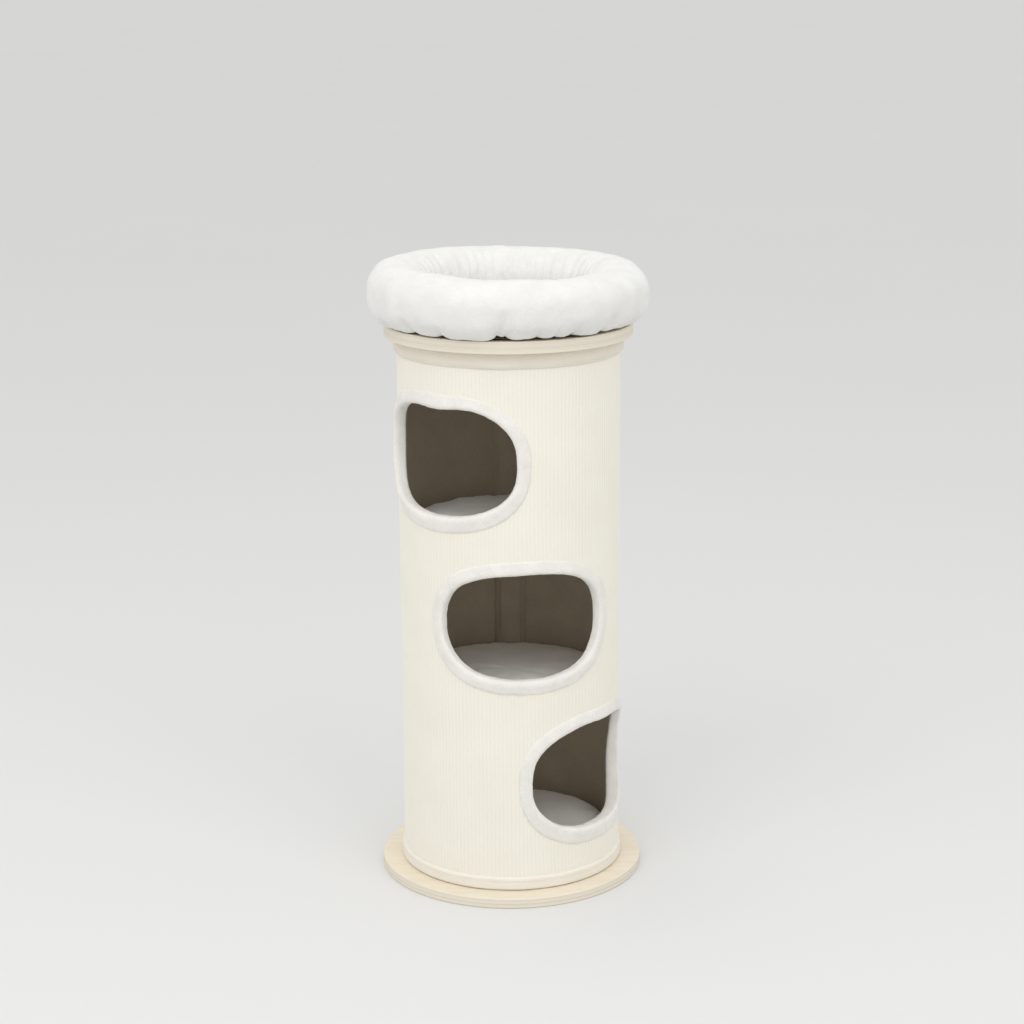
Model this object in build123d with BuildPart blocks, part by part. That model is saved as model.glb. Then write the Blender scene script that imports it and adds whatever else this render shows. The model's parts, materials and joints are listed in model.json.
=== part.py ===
"""Cat tree: a fabric-covered barrel with three spiralling doorways, on a round board, with a round bed on top.

Millimetres, +Z up. The origin is the centre of the base board's underside and -Y is the front.
Angles round the barrel are in degrees from the front, growing towards +X.
"""
from build123d import *
import os
from math import copysign, cos, degrees, pi, radians, sin, tan

os.makedirs("parts", exist_ok=True)

# ---- driving dimensions -------------------------------------------------------------------------
base_diameter = 396
top_diameter = 366
base_thickness = 15  # plywood under the barrel
board_thickness = 18  # plywood of the bottom and top boards
floor_thickness = 12  # plywood of the middle and upper floors
cap_thickness = 15  # plywood disc that closes the barrel under the top board
barrel_height = 808
barrel_radius = 165  # outside of the ribbed cover

cover_thickness = 2.5
shell_thickness = 5.5
lining_thickness = 1.5
hem_height_bottom = 22
hem_height_top = 20
hem_bulge = 4

door_half_height = 80  # clear opening inside the plush trim
door_half_angle = 43.5  # degrees each side of the doorway's middle
door_top_fullness = 2.5  # exponents of the rounded outline: 2 is an ellipse, more is squarer
door_bottom_fullness = 2.4
door_angles = {"lower": 54.6, "middle": 7.8, "upper": -39.6}
door_heights = {"lower": 178.5, "middle": 420, "upper": 660}  # middle of each doorway above the floor
trim_lip = 4  # plush wrapped round the cut edge
trim_face = 20  # width of the plush band seen from outside
trim_bulge = 5
edge_gap = 0.2  # between the lip and the cut edge

pad_thickness = 30
pad_radius = 150
sill_to_board = 62  # from a doorway's clear sill down to its floor board's top

batten_width = 30
batten_depth = 6
seam_gap = 0.6

screw_circle = 110  # radius
screw_length = 30
screw_radius = 2
screw_head_radius = 4
screw_recess = 0.5
pilot_radius = 1.5
staple_crown = 10
staple_wire = 1.2
staple_leg = 14  # into the boards' edges
seam_staple_leg = 10  # through the wall into the batten
staples_per_row = 10
staple_sink = 0.2  # crown below the fibreboard's surface
row_offset = 3  # from a shell joint to the staple row on each side of it

strip_length = 60  # hook-and-loop strips that hold the bed
strip_width = 20
strip_thickness = 1
strip_circle = 120
strip_gap = 0.3
bed_radius = 206
bed_inner_radius = 117
bed_height = 87
bed_cloth_radius = 172
bed_cloth_thickness = 1.2
bed_pad_radius = 116
bed_pad_thickness = 27

# ---- worked out from them -----------------------------------------------------------------------
barrel_low = base_thickness
barrel_high = barrel_low + barrel_height
top_face = barrel_high + board_thickness
shell_radius = barrel_radius - cover_thickness
room_radius = shell_radius - shell_thickness
lining_radius = room_radius - lining_thickness
hem_radius = barrel_radius + hem_bulge
trim_radius = barrel_radius + trim_bulge
outline_points = 28
doors = ("lower", "middle", "upper")

bottom_board_top = barrel_low + board_thickness
floor_tops = {
    "lower": bottom_board_top,
    "middle": door_heights["middle"] - door_half_height - sill_to_board,
    "upper": door_heights["upper"] - door_half_height - sill_to_board,
}
ceilings = {
    "lower": floor_tops["middle"] - floor_thickness,
    "middle": floor_tops["upper"] - floor_thickness,
    "upper": barrel_high - cap_thickness,
}
shell_joints = [floor_tops[name] - floor_thickness / 2 for name in ("middle", "upper")]
shell_spans = {
    "lower": (barrel_low, shell_joints[0]),
    "middle": (shell_joints[0], shell_joints[1]),
    "upper": (shell_joints[1], barrel_high),
}
hook_low = top_face
loop_low = hook_low + strip_thickness + strip_gap
bed_cloth_low = loop_low + strip_thickness
bed_low = bed_cloth_low + bed_cloth_thickness
bed_high = bed_low + bed_height


# ---- helpers ------------------------------------------------------------------------------------
def outline_point(step, margin):
    """Angle and height, from the doorway's middle, of one point of its rounded outline."""
    turn = 2 * pi * step / outline_points
    power = 2 / (door_top_fullness if sin(turn) >= 0 else door_bottom_fullness)
    half_angle = door_half_angle + degrees(margin / barrel_radius)
    across = copysign(abs(cos(turn)) ** power, cos(turn))
    up = copysign(abs(sin(turn)) ** power, sin(turn))
    return half_angle * across, (door_half_height + margin) * up


def doorway_sections(door, margin):
    """Two faces whose loft is the doorway's hole: every side line of it points at the barrel's axis."""
    turn = radians(door_angles[door])
    outward = Vector(sin(turn), -cos(turn), 0)
    sections = []
    for distance in (0.5 * barrel_radius, 1.1 * barrel_radius):
        plane = Plane(
            origin=outward * distance + Vector(0, 0, door_heights[door]),
            x_dir=(cos(turn), sin(turn), 0),
            z_dir=outward,
        )
        points = []
        for step in range(outline_points):
            angle, height = outline_point(step, margin)
            points.append((distance * tan(radians(angle)), height))
        with BuildSketch(plane) as section:
            with BuildLine():
                Spline(*points, periodic=True)
            make_face()
        sections.append(section.sketch)
    return sections


def rear(radius, height):
    """Plane whose z looks outwards at the back of the barrel."""
    return Plane(origin=(0, radius, height), x_dir=(-1, 0, 0), z_dir=(0, 1, 0))


# ---- boards -------------------------------------------------------------------------------------
with BuildPart() as base_board:
    with BuildSketch():
        Circle(base_diameter / 2)
    extrude(amount=base_thickness)
    chamfer(base_board.edges().filter_by(GeomType.CIRCLE), length=1)
    with Locations(Plane.XY.rotated((180, 0, 0)).offset(-screw_recess)):
        with PolarLocations(screw_circle, 4, start_angle=45):
            CounterSinkHole(
                radius=screw_radius + edge_gap,
                counter_sink_radius=screw_head_radius + edge_gap,
                depth=base_thickness,
            )
    with BuildSketch():
        with PolarLocations(screw_circle, 4, start_angle=45):
            Circle(screw_head_radius + edge_gap)
    extrude(amount=screw_recess, mode=Mode.SUBTRACT)
base_board.part.label = "base_board"
export_step(base_board.part, "parts/base_board.step")

with BuildPart() as bottom_board:
    with BuildSketch(Plane.XY.offset(barrel_low)):
        Circle(room_radius)
        with PolarLocations(screw_circle, 4, start_angle=45):
            Circle(pilot_radius, mode=Mode.SUBTRACT)
    extrude(amount=board_thickness)
bottom_board.part.label = "bottom_board"
export_step(bottom_board.part, "parts/bottom_board.step")

for name in ("middle", "upper"):
    with BuildPart() as floor_board:
        with BuildSketch(Plane.XY.offset(floor_tops[name] - floor_thickness)):
            Circle(room_radius)
        extrude(amount=floor_thickness)
    floor_board.part.label = f"{name}_floor_board"
    export_step(floor_board.part, f"parts/{name}_floor_board.step")

with BuildPart() as cap_board:
    with BuildSketch(Plane.XY.offset(ceilings["upper"])):
        Circle(room_radius)
        with PolarLocations(screw_circle, 4, start_angle=45):
            Circle(pilot_radius, mode=Mode.SUBTRACT)
    extrude(amount=cap_thickness)
cap_board.part.label = "cap_board"
export_step(cap_board.part, "parts/cap_board.step")

with BuildPart() as top_board:
    with BuildSketch(Plane.XY.offset(barrel_high)):
        Circle(top_diameter / 2)
    extrude(amount=board_thickness)
    chamfer(top_board.edges().filter_by(GeomType.CIRCLE), length=1)
    with Locations(Plane.XY.offset(top_face - screw_recess)):
        with PolarLocations(screw_circle, 4, start_angle=45):
            CounterSinkHole(
                radius=screw_radius + edge_gap,
                counter_sink_radius=screw_head_radius + edge_gap,
                depth=board_thickness,
            )
    with BuildSketch(Plane.XY.offset(top_face - screw_recess)):
        with PolarLocations(screw_circle, 4, start_angle=45):
            Circle(screw_head_radius + edge_gap)
    extrude(amount=screw_recess, mode=Mode.SUBTRACT)
top_board.part.label = "top_board"
export_step(top_board.part, "parts/top_board.step")

# ---- countersunk screws: the base board's from below, the top board's from above ------------------
with BuildPart() as screw:
    with BuildSketch(Plane.XZ):
        with BuildLine():
            Polyline(
                (0, 0),
                (screw_head_radius, 0),
                (screw_radius, -(screw_head_radius - screw_radius)),
                (screw_radius, -screw_length + 2 * screw_radius),
                (0, -screw_length),
                close=True,
            )
        make_face()
    revolve(axis=Axis.Z)
    with BuildSketch(Plane.XY):
        Rectangle(screw_head_radius, 0.9)
        Rectangle(0.9, screw_head_radius)
    extrude(amount=-1.4, mode=Mode.SUBTRACT)

screw_sets = {
    "base_screws": Plane.XY.offset(screw_recess).rotated((180, 0, 0)),
    "top_screws": Plane.XY.offset(top_face - screw_recess),
}
for name, plane in screw_sets.items():
    with BuildPart() as screws:
        with Locations(plane):
            with PolarLocations(screw_circle, 4, start_angle=45):
                add(screw.part)
    screws.part.label = name
    export_step(screws.part, f"parts/{name}.step")

# ---- barrel wall: one rolled fibreboard section and one felt lining to each storey ----------------
for name in doors:
    low, high = shell_spans[name]
    with BuildPart() as shell:
        with BuildSketch(Plane.XY.offset(low)):
            Circle(shell_radius)
            Circle(room_radius, mode=Mode.SUBTRACT)
            with Locations((0, shell_radius)):
                Rectangle(seam_gap, 4 * shell_thickness, mode=Mode.SUBTRACT)
        extrude(amount=high - low)
        loft(doorway_sections(name, trim_lip + edge_gap), mode=Mode.SUBTRACT)
    shell.part.label = f"shell_{name}"
    export_step(shell.part, f"parts/shell_{name}.step")

    low, high = floor_tops[name], ceilings[name]
    with BuildPart() as lining:
        with BuildSketch(Plane.XY.offset(low)):
            Circle(room_radius)
            Circle(lining_radius, mode=Mode.SUBTRACT)
            with Locations((0, room_radius)):
                Rectangle(batten_width, 2 * batten_depth, mode=Mode.SUBTRACT)
        extrude(amount=high - low)
        loft(doorway_sections(name, trim_lip + edge_gap), mode=Mode.SUBTRACT)
    lining.part.label = f"lining_{name}"
    export_step(lining.part, f"parts/lining_{name}.step")

with BuildPart() as seam_battens:
    for name in doors:
        with BuildSketch(Plane.XY.offset(floor_tops[name])):
            Circle(room_radius)
            Circle(room_radius - batten_depth, mode=Mode.SUBTRACT)
            with Locations((0, room_radius)):
                Rectangle(batten_width, 4 * batten_depth, mode=Mode.INTERSECT)
        extrude(amount=ceilings[name] - floor_tops[name])
seam_battens.part.label = "seam_battens"
export_step(seam_battens.part, "parts/seam_battens.step")

# ---- staples: rows into the boards' edges, and pairs down the rear seam ---------------------------
staples = {}
for name, leg in {"wall": staple_leg, "seam": seam_staple_leg}.items():
    with BuildPart() as staple:
        with BuildSketch(Plane.XY):
            Rectangle(staple_crown, staple_wire)
        extrude(amount=-staple_wire)
        with BuildSketch(Plane.XY.offset(-staple_wire)):
            with GridLocations(staple_crown - staple_wire, 0, 2, 1):
                Rectangle(staple_wire, staple_wire)
        extrude(amount=staple_wire - leg)
    staples[name] = staple.part

staple_rows = [barrel_low + board_thickness / 2, barrel_high - cap_thickness / 2]
for joint in shell_joints:
    staple_rows += [joint - row_offset, joint + row_offset]
with BuildPart() as wall_staples:
    for height in staple_rows:
        for step in range(staples_per_row):
            turn = 2 * pi * (step + 0.5) / staples_per_row
            outward = Vector(sin(turn), -cos(turn), 0)
            spot = Plane(
                origin=outward * (shell_radius - staple_sink) + Vector(0, 0, height),
                x_dir=(cos(turn), sin(turn), 0),
                z_dir=outward,
            )
            with Locations(spot):
                add(staples["wall"])
    for name in doors:
        low, high = floor_tops[name], ceilings[name]
        for share in (0.15, 0.5, 0.85):
            with Locations(rear(shell_radius - staple_sink, low + share * (high - low))):
                add(staples["seam"])
wall_staples.part.label = "wall_staples"
export_step(wall_staples.part, "parts/wall_staples.step")

# ---- cloth on the outside -----------------------------------------------------------------------
with BuildPart() as ribbed_cover:
    with BuildSketch(Plane.XY.offset(barrel_low)):
        Circle(barrel_radius)
        Circle(shell_radius, mode=Mode.SUBTRACT)
    extrude(amount=barrel_height)
    for name in doors:
        loft(doorway_sections(name, trim_lip + edge_gap), mode=Mode.SUBTRACT)
ribbed_cover.part.label = "ribbed_cover"
export_step(ribbed_cover.part, "parts/ribbed_cover.step")

hems = {
    "bottom_hem": (barrel_low, hem_height_bottom),
    "top_hem": (barrel_high - hem_height_top, hem_height_top),
}
for name, (low, height) in hems.items():
    with BuildPart() as hem:
        with BuildSketch(Plane.XY.offset(low)):
            Circle(hem_radius)
            Circle(barrel_radius, mode=Mode.SUBTRACT)
        extrude(amount=height)
        fillet(hem.edges().filter_by(GeomType.CIRCLE).group_by(SortBy.RADIUS)[-1], radius=0.6 * hem_bulge)
    hem.part.label = name
    export_step(hem.part, f"parts/{name}.step")

for name in doors:
    low = door_heights[name] - door_half_height - 2 * trim_face
    height = 2 * (door_half_height + 2 * trim_face)
    with BuildPart() as lip:
        with BuildSketch(Plane.XY.offset(low)):
            Circle(barrel_radius)
            Circle(lining_radius, mode=Mode.SUBTRACT)
        extrude(amount=height)
        loft(doorway_sections(name, trim_lip), mode=Mode.INTERSECT)
    with BuildPart() as trim:
        with BuildSketch(Plane.XY.offset(low)):
            Circle(trim_radius)
            Circle(barrel_radius, mode=Mode.SUBTRACT)
        extrude(amount=height)
        loft(doorway_sections(name, trim_face), mode=Mode.INTERSECT)
        add(lip.part)
        loft(doorway_sections(name, 0), mode=Mode.SUBTRACT)
    trim.part.label = f"trim_{name}"
    export_step(trim.part, f"parts/trim_{name}.step")

# ---- loose pads in the three rooms ----------------------------------------------------------------
for name in doors:
    with BuildPart() as pad:
        with BuildSketch(Plane.XY.offset(floor_tops[name])):
            Circle(pad_radius)
        extrude(amount=pad_thickness)
        fillet(pad.edges().filter_by(GeomType.CIRCLE), radius=0.3 * pad_thickness)
    pad.part.label = f"floor_pad_{name}"
    export_step(pad.part, f"parts/floor_pad_{name}.step")

# ---- bed on top, held by hook-and-loop strips ------------------------------------------------------
strips = {"hook_strips": hook_low, "loop_strips": loop_low}
for name, low in strips.items():
    with BuildPart() as strip_set:
        with BuildSketch(Plane.XY.offset(low)):
            with PolarLocations(strip_circle, 4):
                RectangleRounded(strip_width, strip_length, 3)
        extrude(amount=strip_thickness)
    strip_set.part.label = name
    export_step(strip_set.part, f"parts/{name}.step")

with BuildPart() as bed_base_cloth:
    with BuildSketch(Plane.XY.offset(bed_cloth_low)):
        Circle(bed_cloth_radius)
    extrude(amount=bed_cloth_thickness)
bed_base_cloth.part.label = "bed_base_cloth"
export_step(bed_base_cloth.part, "parts/bed_base_cloth.step")

crest_radius = (bed_radius + bed_inner_radius) / 2
roll_half_width = (bed_radius - bed_inner_radius) / 2
roll_half_height = 0.53 * bed_height
with BuildPart() as bed_bolster:
    with BuildSketch(Plane.XZ):
        with Locations((crest_radius, bed_high - roll_half_height)):
            Ellipse(roll_half_width, roll_half_height)
        with Locations((crest_radius, bed_low)):
            Rectangle(
                2 * roll_half_width,
                2 * roll_half_height,
                align=(Align.CENTER, Align.MAX),
                mode=Mode.SUBTRACT,
            )
    revolve(axis=Axis.Z)
bed_bolster.part.label = "bed_bolster"
export_step(bed_bolster.part, "parts/bed_bolster.step")

with BuildPart() as bed_pad:
    with BuildSketch(Plane.XY.offset(bed_low)):
        Circle(bed_pad_radius)
    extrude(amount=bed_pad_thickness)
    fillet(bed_pad.edges().filter_by(GeomType.CIRCLE), radius=0.3 * bed_pad_thickness)
bed_pad.part.label = "bed_pad"
export_step(bed_pad.part, "parts/bed_pad.step")
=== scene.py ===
"""Looks of a cat tree: a cloth-covered barrel with three plush-edged doorways, boards and a round bed.

Metres, +Z up, -Y at the front. Angles round the barrel are in radians from the front, growing towards +X.
Each sub-assembly is a class that works out its surfaces as numpy arrays and dresses them in finishes.
"""

import json
import logging
import math
from dataclasses import dataclass, field
from enum import Enum
from typing import Sequence

import bpy
import numpy as np
from mathutils import Matrix, Vector

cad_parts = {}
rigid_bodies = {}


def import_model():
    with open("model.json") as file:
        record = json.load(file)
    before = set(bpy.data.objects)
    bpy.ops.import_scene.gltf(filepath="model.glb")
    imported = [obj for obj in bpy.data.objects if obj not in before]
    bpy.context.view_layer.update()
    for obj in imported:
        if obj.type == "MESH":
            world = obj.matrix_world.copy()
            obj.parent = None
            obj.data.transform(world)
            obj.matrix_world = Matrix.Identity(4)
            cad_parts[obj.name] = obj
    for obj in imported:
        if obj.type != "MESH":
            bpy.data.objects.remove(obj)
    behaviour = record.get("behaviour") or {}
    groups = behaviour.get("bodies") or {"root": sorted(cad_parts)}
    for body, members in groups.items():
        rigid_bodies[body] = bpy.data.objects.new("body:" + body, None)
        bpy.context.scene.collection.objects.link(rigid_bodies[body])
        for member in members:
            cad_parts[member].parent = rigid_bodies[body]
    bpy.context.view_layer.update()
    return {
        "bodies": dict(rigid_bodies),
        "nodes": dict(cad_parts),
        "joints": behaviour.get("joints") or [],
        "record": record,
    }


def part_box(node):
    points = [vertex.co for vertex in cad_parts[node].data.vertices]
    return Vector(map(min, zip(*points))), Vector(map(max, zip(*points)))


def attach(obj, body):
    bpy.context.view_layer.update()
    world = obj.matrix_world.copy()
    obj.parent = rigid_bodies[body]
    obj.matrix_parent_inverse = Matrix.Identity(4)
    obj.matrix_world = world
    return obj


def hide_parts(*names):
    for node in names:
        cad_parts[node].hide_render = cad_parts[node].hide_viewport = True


LOG = logging.getLogger("cat_tree")
MM = 0.001
TURN = 2 * math.pi
WAVE_PERIOD = TURN / 20  # length of one band of the wave texture at scale 1
SWELL_FRAMES = 20
RIB = "rib"
Colour = tuple[float, float, float]


class Storey(Enum):
    """The three rooms of the barrel, from the floor up."""

    LOWER = "lower"
    MIDDLE = "middle"
    UPPER = "upper"


class Ride(Enum):
    """The bodies that pieces move with."""

    TREE = "tree"
    BED = "bed"


DOOR_ANGLES: dict[Storey, float] = {
    Storey.LOWER: math.radians(54.6),
    Storey.MIDDLE: math.radians(7.8),
    Storey.UPPER: math.radians(-39.6),
}


# ---- shapes as arrays -----------------------------------------------------------------------------
def band_noise(shape: tuple[int, int], size: tuple[float, float], wave: float, seed: int) -> np.ndarray:
    """Smooth random heights on a grid that closes on itself both ways.

    White noise is multiplied, in the frequency plane, by exp(-((f * wave - 1) / 0.5)**2), so that its
    bumps are about one wave across, and is then scaled to a spread of 1.

    Args:
        shape: points along each side of the grid.
        size: length of each side, in metres.
        wave: usual distance between bumps, in metres.
        seed: start of the random draws.

    Returns:
        An array of that shape.
    """
    rng = np.random.default_rng(seed)
    white = np.fft.fft2(rng.standard_normal(shape))
    across = np.fft.fftfreq(shape[0], size[0] / shape[0])[:, None]
    along = np.fft.fftfreq(shape[1], size[1] / shape[1])[None, :]
    keep = np.exp(-(((np.hypot(across, along) * wave - 1) / 0.5) ** 2))
    smooth = np.fft.ifft2(white * keep).real
    return smooth / max(float(smooth.std()), 1e-12)


def space_noise(points: np.ndarray, wave: float, seed: int, count: int = 28) -> np.ndarray:
    """Smooth random heights at free points: a sum of plane waves with random directions and phases.

    Args:
        points: positions, one row each, in metres.
        wave: usual distance between bumps, in metres.
        seed: start of the random draws.
        count: how many plane waves are added.

    Returns:
        One height for each point, with a spread of about 1.
    """
    rng = np.random.default_rng(seed)
    total = np.zeros(len(points))
    for _ in range(count):
        direction = rng.standard_normal(3)
        direction *= TURN / (wave * rng.uniform(0.7, 1.5) * np.linalg.norm(direction))
        total += np.sin(points @ direction + rng.uniform(0, TURN))
    return total * math.sqrt(2 / count)


def signed_power(value: np.ndarray, power: float) -> np.ndarray:
    """The value's size raised to a power, with its sign kept."""
    return np.sign(value) * np.abs(value) ** power


def smooth_loop(corners: Sequence[tuple[float, float]], count: int) -> np.ndarray:
    """A closed curve through a few corners, with its points evenly spaced.

    Each span is a Catmull-Rom cubic through the corners before and after it, and the curve is then
    sampled again at equal steps of its length.

    Args:
        corners: points that the curve passes through, in order.
        count: how many points to return.

    Returns:
        An array of count rows of two.
    """
    knots = np.array(corners, float)
    before, after, beyond = np.roll(knots, 1, 0), np.roll(knots, -1, 0), np.roll(knots, -2, 0)
    t = np.linspace(0, 1, 24, endpoint=False)[None, :, None]
    p0, p1, p2, p3 = (k[:, None, :] for k in (before, knots, after, beyond))
    cubic = 2 * p1 + (p2 - p0) * t + (2 * p0 - 5 * p1 + 4 * p2 - p3) * t**2
    cubic = 0.5 * (cubic + (3 * p1 - p0 - 3 * p2 + p3) * t**3)
    return even_loop(cubic.reshape(-1, 2), count)


def even_loop(points: np.ndarray, count: int) -> np.ndarray:
    """The same closed line, sampled at equal steps of its length.

    Args:
        points: rows of two, without the first repeated at the end.
        count: how many points to return.

    Returns:
        An array of count rows of two.
    """
    closed = np.vstack([points, points[:1]])
    run = np.r_[0, np.cumsum(np.linalg.norm(np.diff(closed, axis=0), axis=1))]
    wanted = np.linspace(0, run[-1], count, endpoint=False)
    return np.stack([np.interp(wanted, run, closed[:, k]) for k in (0, 1)], 1)


def loop_normals(points: np.ndarray) -> np.ndarray:
    """Unit vectors square to a closed line that runs anticlockwise, pointing away from its inside."""
    along = np.roll(points, -1, 0) - np.roll(points, 1, 0)
    along /= np.linalg.norm(along, axis=1, keepdims=True)
    return np.stack([along[:, 1], -along[:, 0]], 1)


def loop_area(points: np.ndarray) -> float:
    """Area inside a closed line, by the shoelace formula: above 0 where the line runs anticlockwise."""
    ahead = np.roll(points, -1, 0)
    return float(np.sum(points[:, 0] * ahead[:, 1] - ahead[:, 0] * points[:, 1])) / 2


def wall_points(angle: np.ndarray, radius: np.ndarray | float, height: np.ndarray | float) -> np.ndarray:
    """Points from an angle round the barrel, a distance from its axis and a height.

    Args:
        angle: radians from the front.
        radius: metres from the axis.
        height: metres above the floor.

    Returns:
        x = radius * sin(angle), y = -radius * cos(angle), z = height, in the last axis.
    """
    angle, radius, height = np.broadcast_arrays(angle, radius, height)
    return np.stack([radius * np.sin(angle), -radius * np.cos(angle), height], -1)


@dataclass
class Surface:
    """Vertices and faces gathered from grids, ready to become one mesh."""

    points: list[np.ndarray] = field(default_factory=list)
    faces: list[np.ndarray] = field(default_factory=list)
    values: np.ndarray | None = None
    used: int = 0

    def add_grid(
        self,
        grid: np.ndarray,
        wrap: tuple[bool, bool] = (False, False),
        keep: np.ndarray | None = None,
    ) -> "Surface":
        """Adds a grid of points as four-sided faces.

        A face joins points (i, j), (i + 1, j), (i + 1, j + 1) and (i, j + 1).

        Args:
            grid: points in an array of shape (rows, columns, 3).
            wrap: whether the last row joins the first, and the last column the first.
            keep: which faces to keep, in an array of the faces' shape.

        Returns:
            This surface.
        """
        rows, columns = grid.shape[:2]
        index = np.arange(rows * columns).reshape(rows, columns) + self.used
        if wrap[0]:
            index = np.vstack([index, index[:1]])
        if wrap[1]:
            index = np.hstack([index, index[:, :1]])
        quads = np.stack([index[:-1, :-1], index[1:, :-1], index[1:, 1:], index[:-1, 1:]], -1)
        quads = quads.reshape(-1, 4) if keep is None else quads[keep]
        self.points.append(grid.reshape(-1, 3))
        self.faces.append(quads)
        self.used += rows * columns
        return self

    def add_turned(self, grid: np.ndarray) -> "Surface":
        """Adds a closed turned form, whose columns run round it and whose first and last rows are poles.

        Args:
            grid: points in an array of shape (rows, columns, 3); each pole's row is merged to its middle.

        Returns:
            This surface.
        """
        columns = grid.shape[1]
        start = self.used
        self.add_grid(grid[1:-1], wrap=(False, True))
        rims = (start + np.arange(columns), self.used - columns + np.arange(columns))
        for pole, rim, flip in ((grid[0], rims[0], False), (grid[-1], rims[1], True)):
            middle = np.full(columns, self.used)
            ahead = np.roll(rim, -1)
            order = (middle, ahead, rim) if flip else (middle, rim, ahead)
            self.points.append(pole.mean(0)[None, :])
            self.faces.append(np.stack(order, -1))
            self.used += 1
        return self

    def to_object(self, name: str) -> bpy.types.Object:
        """Makes the mesh object, with unused points dropped and smooth shading.

        Args:
            name: the piece's name.

        Returns:
            The object, at the origin.
        """
        points = np.vstack(self.points)
        loops = np.concatenate([faces.ravel() for faces in self.faces])
        totals = np.concatenate([np.full(len(faces), faces.shape[1]) for faces in self.faces])
        used, loops = np.unique(loops, return_inverse=True)
        mesh = bpy.data.meshes.new(name)
        mesh.vertices.add(len(used))
        mesh.vertices.foreach_set("co", points[used].astype(np.float32).ravel())
        mesh.loops.add(len(loops))
        mesh.loops.foreach_set("vertex_index", loops.astype(np.int32).ravel())
        mesh.polygons.add(len(totals))
        mesh.polygons.foreach_set("loop_start", np.r_[0, np.cumsum(totals)[:-1]].astype(np.int32))
        mesh.update(calc_edges=True)
        mesh.shade_smooth()
        piece = bpy.data.objects.new(name, mesh)
        bpy.context.scene.collection.objects.link(piece)
        if self.values is not None:
            keep_value(piece, RIB, self.values.ravel()[used])
        return piece


def read_points(piece: bpy.types.Object) -> np.ndarray:
    """The piece's vertices as an array of rows of three."""
    flat = np.empty(len(piece.data.vertices) * 3, np.float32)
    piece.data.vertices.foreach_get("co", flat)
    return flat.reshape(-1, 3).astype(float)


def write_points(piece: bpy.types.Object, points: np.ndarray) -> None:
    """Puts moved vertices back into the piece."""
    piece.data.vertices.foreach_set("co", points.astype(np.float32).ravel())
    piece.data.update()


def face_outwards(piece: bpy.types.Object) -> None:
    """Turns a closed mesh's faces outwards if its volume, summed face by face, comes out below 0."""
    mesh = piece.data
    mesh.calc_loop_triangles()
    corners = np.empty(len(mesh.loop_triangles) * 3, np.int32)
    mesh.loop_triangles.foreach_get("vertices", corners)
    a, b, c = (read_points(piece)[corners.reshape(-1, 3)[:, k]] for k in range(3))
    if float((a * np.cross(b, c)).sum()) < 0:
        mesh.flip_normals()


def raise_pile(piece: bpy.types.Object, height: float, wave: float, seed: int) -> None:
    """Roughens a plush surface: each vertex moves along its normal by a random smooth height.

    Args:
        piece: the mesh to change.
        height: spread of the movement, in metres.
        wave: usual distance between tufts, in metres.
        seed: start of the random draws.
    """
    normals = np.empty(len(piece.data.vertices) * 3, np.float32)
    piece.data.vertices.foreach_get("normal", normals)
    points = read_points(piece)
    tufts = np.clip(space_noise(points, wave, seed), -1.6, 1.6)
    write_points(piece, points + normals.reshape(-1, 3) * (tufts * height)[:, None])


def keep_value(piece: bpy.types.Object, name: str, values: np.ndarray) -> None:
    """Keeps one number for each vertex, which the piece's finish reads.

    Args:
        piece: the mesh that gets the numbers.
        name: the attribute's name.
        values: one number for each vertex.
    """
    layer = piece.data.attributes.new(name, "FLOAT", "POINT")
    layer.data.foreach_set("value", values.astype(np.float32).ravel())


def apply_modifiers(piece: bpy.types.Object) -> None:
    """Replaces the piece's mesh by what its modifiers make of it."""
    shown = piece.evaluated_get(bpy.context.evaluated_depsgraph_get())
    mesh = bpy.data.meshes.new_from_object(shown)
    piece.modifiers.clear()
    old, piece.data = piece.data, mesh
    mesh.name = piece.name
    bpy.data.meshes.remove(old)


def subdivide(piece: bpy.types.Object) -> None:
    """Gives the mesh one smooth subdivision."""
    smooth = piece.modifiers.new("smooth", "SUBSURF")
    smooth.levels = smooth.render_levels = 1
    apply_modifiers(piece)


def remesh(piece: bpy.types.Object, cell: float) -> None:
    """Rebuilds a closed mesh from even cells.

    Args:
        piece: the mesh to rebuild.
        cell: side of a cell, in metres.
    """
    even = piece.modifiers.new("even", "REMESH")
    even.mode = "VOXEL"
    even.voxel_size = cell
    apply_modifiers(piece)
    piece.data.shade_smooth()


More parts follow.
